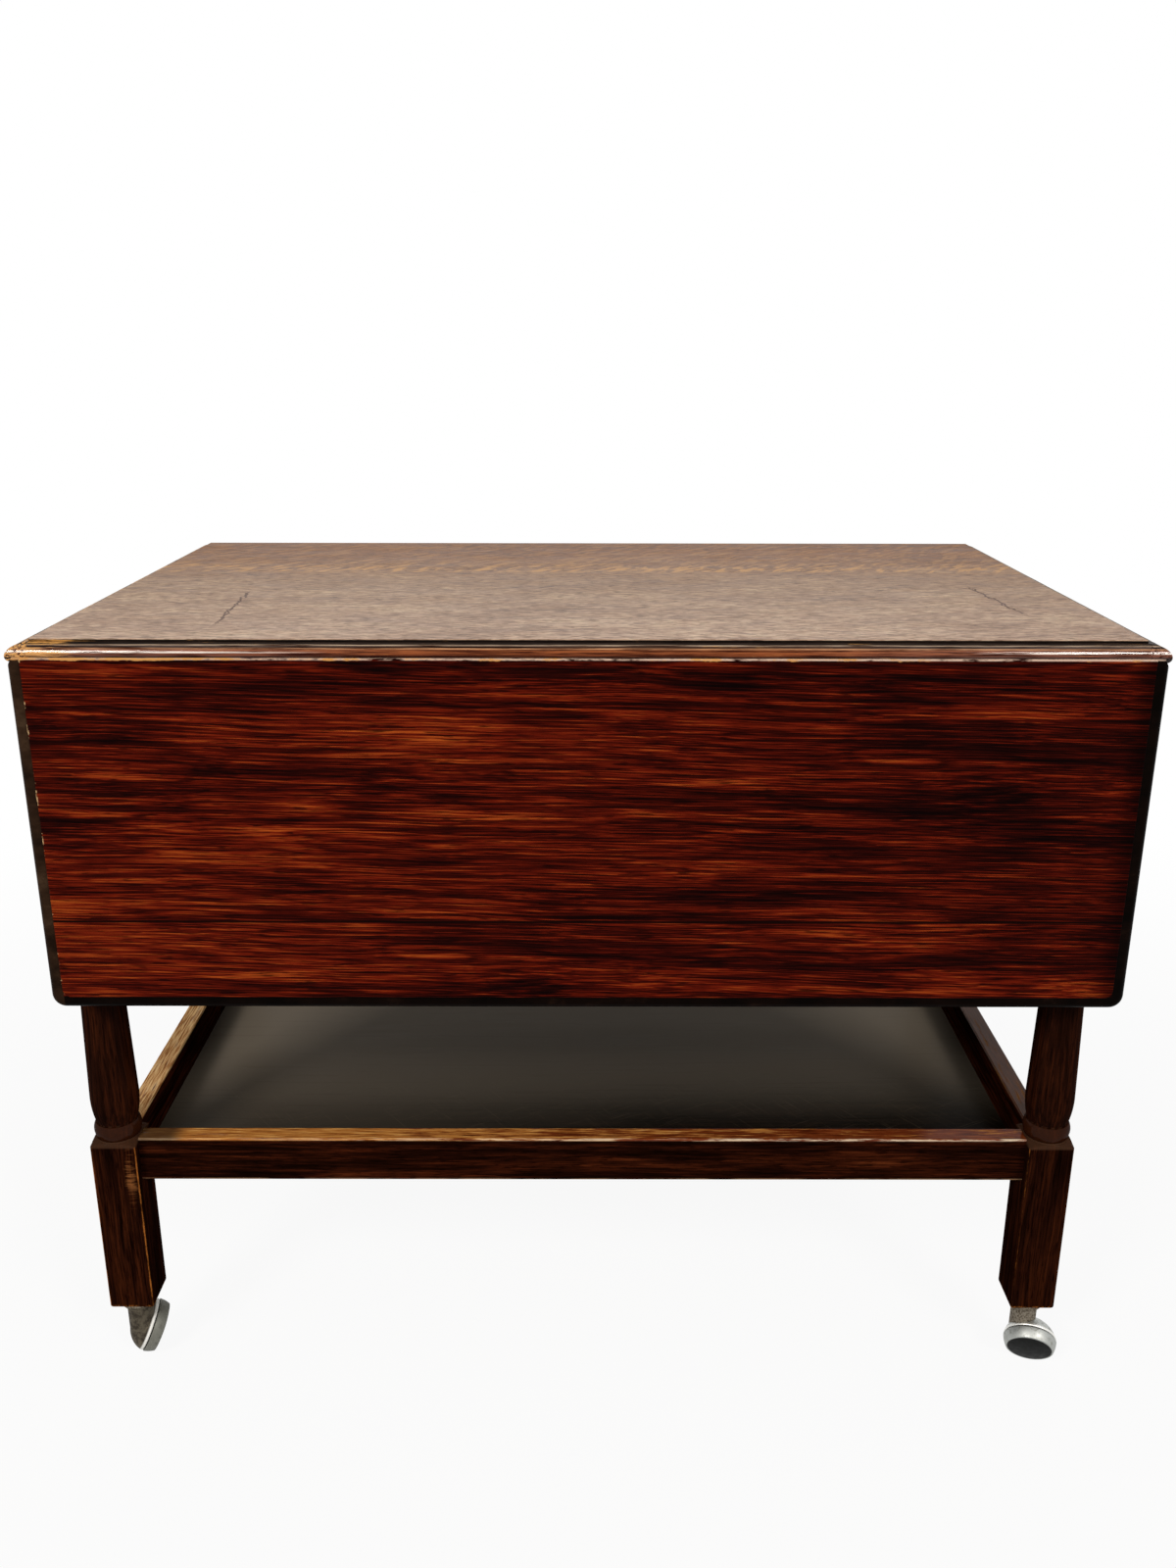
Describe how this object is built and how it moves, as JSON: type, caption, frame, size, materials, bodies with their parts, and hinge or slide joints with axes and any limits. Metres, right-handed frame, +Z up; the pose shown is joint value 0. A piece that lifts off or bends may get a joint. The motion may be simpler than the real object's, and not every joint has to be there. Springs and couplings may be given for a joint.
{
  "type": "drop leaf tea trolley",
  "caption": "Wooden tea trolley with two hanging leaves on rule joints, turned legs, a railed lower tray and swivelling ball casters.",
  "frame": {"origin": "on the floor under the middle of the top", "axes": "+X along the top, -Y to the front leaf, +Z up; the leaves hang at rest"},
  "size_m": [0.762, 0.4694, 0.602],
  "materials": {
    "oak_top": "satin",
    "oak_leaf": "gloss",
    "oak_frame": "gloss",
    "oak_tray": "gloss",
    "beech": "matte",
    "hinge_steel": "satin",
    "screw_steel": "satin",
    "bracket_steel": "satin",
    "caster_steel": "gloss",
    "caster_wheel_steel": "satin"
  },
  "bodies": {
    "frame": {"top_panel": "oak_top", "front_apron": "oak_frame", "back_apron": "oak_frame", "left_apron": "oak_frame", "right_apron": "oak_frame", "front_left_leg": "oak_frame", "front_right_leg": "oak_frame", "back_left_leg": "oak_frame", "back_right_leg": "oak_frame", "front_tray_rail": "oak_frame", "back_tray_rail": "oak_frame", "left_tray_rail": "oak_frame", "right_tray_rail": "oak_frame", "tray_floor": "oak_tray", "tray_screws": "screw_steel", "top_fixing_blocks": "beech", "top_screws": "screw_steel", "front_hinge_top_flaps": "hinge_steel", "back_hinge_top_flaps": "hinge_steel", "front_hinge_pins": "hinge_steel", "back_hinge_pins": "hinge_steel", "fixing_screws": "screw_steel", "front_left_bracket": "bracket_steel", "front_right_bracket": "bracket_steel", "back_left_bracket": "bracket_steel", "back_right_bracket": "bracket_steel", "arm_pins": "bracket_steel", "front_left_caster_socket": "caster_steel", "front_right_caster_socket": "caster_steel", "back_left_caster_socket": "caster_steel", "back_right_caster_socket": "caster_steel"},
    "front_leaf": {"front_leaf": "oak_leaf", "front_hinge_leaf_flaps": "hinge_steel", "front_leaf_flap_screws": "screw_steel", "front_leaf_stops": "beech"},
    "back_leaf": {"back_leaf": "oak_leaf", "back_hinge_leaf_flaps": "hinge_steel", "back_leaf_flap_screws": "screw_steel", "back_leaf_stops": "beech"},
    "front_left_arm": {"front_left_arm": "beech"},
    "front_right_arm": {"front_right_arm": "beech"},
    "back_left_arm": {"back_left_arm": "beech"},
    "back_right_arm": {"back_right_arm": "beech"},
    "front_left_swivel": {"front_left_caster_hood": "caster_steel", "front_left_caster_stem": "caster_steel", "front_left_caster_axle": "caster_steel"},
    "front_left_wheel": {"front_left_caster_wheel": "caster_wheel_steel"},
    "front_right_swivel": {"front_right_caster_hood": "caster_steel", "front_right_caster_stem": "caster_steel", "front_right_caster_axle": "caster_steel"},
    "front_right_wheel": {"front_right_caster_wheel": "caster_wheel_steel"},
    "back_left_swivel": {"back_left_caster_hood": "caster_steel", "back_left_caster_stem": "caster_steel", "back_left_caster_axle": "caster_steel"},
    "back_left_wheel": {"back_left_caster_wheel": "caster_wheel_steel"},
    "back_right_swivel": {"back_right_caster_hood": "caster_steel", "back_right_caster_stem": "caster_steel", "back_right_caster_axle": "caster_steel"},
    "back_right_wheel": {"back_right_caster_wheel": "caster_wheel_steel"}
  },
  "joints": [
    {"name": "front_leaf_hinge", "type": "hinge", "parent": "frame", "child": "front_leaf", "pos_m": [0, -0.2243, 0.59165], "axis": [-1, 0, 0], "range_deg": [0, 90]},
    {"name": "back_leaf_hinge", "type": "hinge", "parent": "frame", "child": "back_leaf", "pos_m": [0, 0.2243, 0.59165], "axis": [1, 0, 0], "range_deg": [0, 90]},
    {"name": "front_left_arm_pivot", "type": "hinge", "parent": "frame", "child": "front_left_arm", "pos_m": [-0.15, -0.2088, 0.52165], "axis": [-1, 0, 0], "range_deg": [0, 115]},
    {"name": "front_right_arm_pivot", "type": "hinge", "parent": "frame", "child": "front_right_arm", "pos_m": [0.15, -0.2088, 0.52165], "axis": [-1, 0, 0], "range_deg": [0, 115]},
    {"name": "back_left_arm_pivot", "type": "hinge", "parent": "frame", "child": "back_left_arm", "pos_m": [-0.15, 0.2088, 0.52165], "axis": [1, 0, 0], "range_deg": [0, 115]},
    {"name": "back_right_arm_pivot", "type": "hinge", "parent": "frame", "child": "back_right_arm", "pos_m": [0.15, 0.2088, 0.52165], "axis": [1, 0, 0], "range_deg": [0, 115]},
    {"name": "front_left_swivel", "type": "hinge", "parent": "frame", "child": "front_left_swivel", "pos_m": [-0.36175, -0.18805, 0.05], "axis": [0, 0, 1], "continuous": true},
    {"name": "front_left_wheel_spin", "type": "hinge", "parent": "front_left_swivel", "child": "front_left_wheel", "pos_m": [-0.35818, -0.18022, 0.0205], "axis": [0.8897, 0.1729, -0.4226], "continuous": true},
    {"name": "front_right_swivel", "type": "hinge", "parent": "frame", "child": "front_right_swivel", "pos_m": [0.35375, -0.18805, 0.05], "axis": [0, 0, 1], "continuous": true},
    {"name": "front_right_wheel_spin", "type": "hinge", "parent": "front_right_swivel", "child": "front_right_wheel", "pos_m": [0.35898, -0.19488, 0.0205], "axis": [-0.265, -0.8667, -0.4226], "continuous": true},
    {"name": "back_left_swivel", "type": "hinge", "parent": "frame", "child": "back_left_swivel", "pos_m": [-0.36175, 0.18805, 0.05], "axis": [0, 0, 1], "continuous": true},
    {"name": "back_left_wheel_spin", "type": "hinge", "parent": "back_left_swivel", "child": "back_left_wheel", "pos_m": [-0.35466, 0.19292, 0.0205], "axis": [0.8517, -0.31, -0.4226], "continuous": true},
    {"name": "back_right_swivel", "type": "hinge", "parent": "frame", "child": "back_right_swivel", "pos_m": [0.35375, 0.18805, 0.05], "axis": [0, 0, 1], "continuous": true},
    {"name": "back_right_wheel_spin", "type": "hinge", "parent": "back_right_swivel", "child": "back_right_wheel", "pos_m": [0.34666, 0.18318, 0.0205], "axis": [-0.8517, 0.31, -0.4226], "continuous": true}
  ],
  "couplings": [
    {"joint": "front_left_arm_pivot", "follows": "front_leaf_hinge", "ratio": 1.2778},
    {"joint": "front_right_arm_pivot", "follows": "front_leaf_hinge", "ratio": 1.2778},
    {"joint": "back_left_arm_pivot", "follows": "back_leaf_hinge", "ratio": 1.2778},
    {"joint": "back_right_arm_pivot", "follows": "back_leaf_hinge", "ratio": 1.2778}
  ]
}
